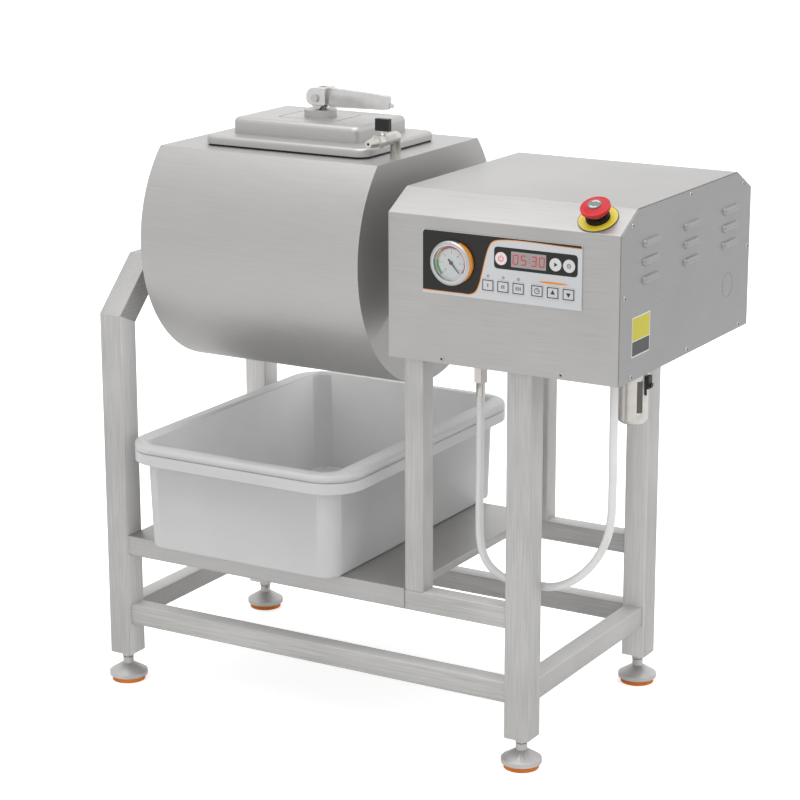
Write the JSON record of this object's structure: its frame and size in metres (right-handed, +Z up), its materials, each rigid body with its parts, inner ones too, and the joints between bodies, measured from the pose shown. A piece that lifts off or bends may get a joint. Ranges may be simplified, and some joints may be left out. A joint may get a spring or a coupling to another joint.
{
  "type": "meat vacuum tumbler",
  "caption": "Meat vacuum tumbler: D-shaped steel drum turning on a tube frame, folded control box with gauge and keys, cam-clamped lid, levelling feet and loose tub.",
  "frame": {"origin": "on the floor at the middle of the machine's outline seen from above", "axes": "+Z up, +X from the drum towards the control box, -Y the operator's side with the keys"},
  "size_m": [0.8654, 0.526, 0.906],
  "materials": {
    "tube_steel": "satin brushed stainless tube",
    "sheet_steel": "satin brushed stainless sheet",
    "drum_steel": "brushed stainless drum",
    "polished_steel": "bright turned steel",
    "nickel": "nickel plated",
    "rubber_orange": "orange rubber",
    "rubber_black": "black rubber",
    "cast_grey": "grey painted casting",
    "motor_paint": "dark painted",
    "gear_steel": "machined steel",
    "panel_black": "matt black printed foil",
    "board": "circuit board",
    "key_grey": "light key",
    "dial": "dial face",
    "needle_black": "black",
    "clear": "clear",
    "stop_grey": "yellow legend",
    "stop_stem": "dark stem",
    "stop_red": "red",
    "black_plastic": "black",
    "hose_pvc": "milky tube",
    "tub_grey": "light grey moulded"
  },
  "bodies": {
    "frame": {"frame_legs": "tube_steel", "left_bridge": "tube_steel", "mid_posts": "tube_steel", "frame_rails": "tube_steel", "shelf_tray": "sheet_steel", "box_cover": "sheet_steel", "box_side_panel": "sheet_steel", "box_base_pan": "sheet_steel", "box_screws": "polished_steel", "mains_inlet": "black_plastic", "control_panel": "panel_black", "control_board": "board", "gauge_case": "polished_steel", "gauge_dial": "dial", "gauge_lens": "clear", "stop_base": "stop_grey", "left_bearing": "cast_grey", "right_bearing": "cast_grey", "gearmotor": "motor_paint", "vacuum_pump": "motor_paint", "filter_head": "nickel", "hose_fittings": "nickel", "hose": "hose_pvc"},
    "drum": {"drum_shell": "drum_steel", "drum_left_end": "drum_steel", "drum_right_end": "drum_steel", "drum_baffles": "drum_steel", "drum_gear": "gear_steel", "vent_valve": "nickel"},
    "pinion": {"motor_pinion": "gear_steel"},
    "lid": {"lid_plate": "drum_steel", "lid_seal": "rubber_black"},
    "boss": {"lid_boss": "polished_steel"},
    "clamp": {"clamp_bar": "polished_steel", "lever_pin": "polished_steel"},
    "lever": {"cam_lever": "polished_steel"},
    "valve_grip": {"valve_handle": "black_plastic"},
    "needle": {"gauge_needle": "needle_black"},
    "stop_shaft": {"stop_stem": "stop_stem"},
    "stop_head": {"stop_button": "stop_red"},
    "bowl": {"filter_bowl": "nickel"},
    "latch": {"filter_latch": "black_plastic"},
    "loose_tub": {"tub": "tub_grey"},
    "power_key_cap": {"power_key": "key_grey"},
    "start_key_cap": {"start_key": "key_grey"},
    "set_key_cap": {"set_key": "key_grey"},
    "mode_key_1_cap": {"mode_key_1": "key_grey"},
    "mode_key_2_cap": {"mode_key_2": "key_grey"},
    "mode_key_3_cap": {"mode_key_3": "key_grey"},
    "time_key_cap": {"time_key": "key_grey"},
    "up_key_cap": {"up_key": "key_grey"},
    "down_key_cap": {"down_key": "key_grey"},
    "foot_front_left_screw": {"foot_front_left": "polished_steel", "foot_pad_front_left": "rubber_orange"},
    "foot_front_right_screw": {"foot_front_right": "polished_steel", "foot_pad_front_right": "rubber_orange"},
    "foot_rear_left_screw": {"foot_rear_left": "polished_steel", "foot_pad_rear_left": "rubber_orange"},
    "foot_rear_right_screw": {"foot_rear_right": "polished_steel", "foot_pad_rear_right": "rubber_orange"}
  },
  "joints": [
    {"name": "drum_spin", "type": "hinge", "parent": "frame", "child": "drum", "pos_m": [0, -0.013, 0.686], "axis": [1, 0, 0], "continuous": true},
    {"name": "pinion_spin", "type": "hinge", "parent": "frame", "child": "pinion", "pos_m": [0, 0.083, 0.686], "axis": [1, 0, 0], "continuous": true},
    {"name": "lid_lift", "type": "slide", "parent": "drum", "child": "lid", "axis": [0, 0, 1], "range_m": [0, 0.1]},
    {"name": "clamp_turn", "type": "hinge", "parent": "lid", "child": "boss", "pos_m": [-0.16455, -0.013, 0.8627], "axis": [0, 0, 1], "range_deg": [0, 90]},
    {"name": "clamp_draw", "type": "slide", "parent": "boss", "child": "clamp", "axis": [0, 0, -1], "range_m": [0, 0.001]},
    {"name": "lever_flip", "type": "hinge", "parent": "clamp", "child": "lever", "pos_m": [-0.16455, -0.013, 0.8902], "axis": [0, -1, 0], "range_deg": [0, 90]},
    {"name": "valve_turn", "type": "hinge", "parent": "drum", "child": "valve_grip", "pos_m": [0.00425, -0.117, 0.8671], "axis": [0, 0, 1], "range_deg": [0, 90]},
    {"name": "needle_turn", "type": "hinge", "parent": "frame", "child": "needle", "pos_m": [0.17825, -0.228, 0.717], "axis": [0, -1, 0], "range_deg": [0, 270], "stiffness_Nm_per_rad": 0.002},
    {"name": "stop_press", "type": "slide", "parent": "frame", "child": "stop_shaft", "axis": [0, 0.4886, -0.8725], "range_m": [0, 0.004], "stiffness_N_per_m": 800},
    {"name": "stop_twist", "type": "hinge", "parent": "stop_shaft", "child": "stop_head", "pos_m": [0.38225, -0.203, 0.791], "axis": [0, -0.4886, 0.8725], "range_deg": [0, 30], "stiffness_Nm_per_rad": 0.05},
    {"name": "bowl_twist", "type": "hinge", "parent": "frame", "child": "bowl", "pos_m": [0.40475, -0.133, 0.54], "axis": [0, 0, 1], "range_deg": [0, 45]},
    {"name": "latch_slide", "type": "slide", "parent": "bowl", "child": "latch", "axis": [0, 0, -1], "range_m": [0, 0.004], "stiffness_N_per_m": 300},
    {"name": "tub_slide", "type": "slide", "parent": "frame", "child": "loose_tub", "axis": [0, -1, 0], "range_m": [0, 0.55]},
    {"name": "power_key_press", "type": "slide", "parent": "frame", "child": "power_key_cap", "axis": [0, 1, 0], "range_m": [0, 0.0005], "stiffness_N_per_m": 1000},
    {"name": "start_key_press", "type": "slide", "parent": "frame", "child": "start_key_cap", "axis": [0, 1, 0], "range_m": [0, 0.0005], "stiffness_N_per_m": 1000},
    {"name": "set_key_press", "type": "slide", "parent": "frame", "child": "set_key_cap", "axis": [0, 1, 0], "range_m": [0, 0.0005], "stiffness_N_per_m": 1000},
    {"name": "mode_key_1_press", "type": "slide", "parent": "frame", "child": "mode_key_1_cap", "axis": [0, 1, 0], "range_m": [0, 0.0005], "stiffness_N_per_m": 1000},
    {"name": "mode_key_2_press", "type": "slide", "parent": "frame", "child": "mode_key_2_cap", "axis": [0, 1, 0], "range_m": [0, 0.0005], "stiffness_N_per_m": 1000},
    {"name": "mode_key_3_press", "type": "slide", "parent": "frame", "child": "mode_key_3_cap", "axis": [0, 1, 0], "range_m": [0, 0.0005], "stiffness_N_per_m": 1000},
    {"name": "time_key_press", "type": "slide", "parent": "frame", "child": "time_key_cap", "axis": [0, 1, 0], "range_m": [0, 0.0005], "stiffness_N_per_m": 1000},
    {"name": "up_key_press", "type": "slide", "parent": "frame", "child": "up_key_cap", "axis": [0, 1, 0], "range_m": [0, 0.0005], "stiffness_N_per_m": 1000},
    {"name": "down_key_press", "type": "slide", "parent": "frame", "child": "down_key_cap", "axis": [0, 1, 0], "range_m": [0, 0.0005], "stiffness_N_per_m": 1000},
    {"name": "foot_front_left_adjust", "type": "slide", "parent": "frame", "child": "foot_front_left_screw", "axis": [0, 0, -1], "range_m": [0, 0.015]},
    {"name": "foot_front_right_adjust", "type": "slide", "parent": "frame", "child": "foot_front_right_screw", "axis": [0, 0, -1], "range_m": [0, 0.015]},
    {"name": "foot_rear_left_adjust", "type": "slide", "parent": "frame", "child": "foot_rear_left_screw", "axis": [0, 0, -1], "range_m": [0, 0.015]},
    {"name": "foot_rear_right_adjust", "type": "slide", "parent": "frame", "child": "foot_rear_right_screw", "axis": [0, 0, -1], "range_m": [0, 0.015]}
  ],
  "couplings": [
    {"joint": "pinion_spin", "follows": "drum_spin", "ratio": -3},
    {"joint": "clamp_draw", "follows": "lever_flip", "m_per_rad": 0.00063662}
  ]
}
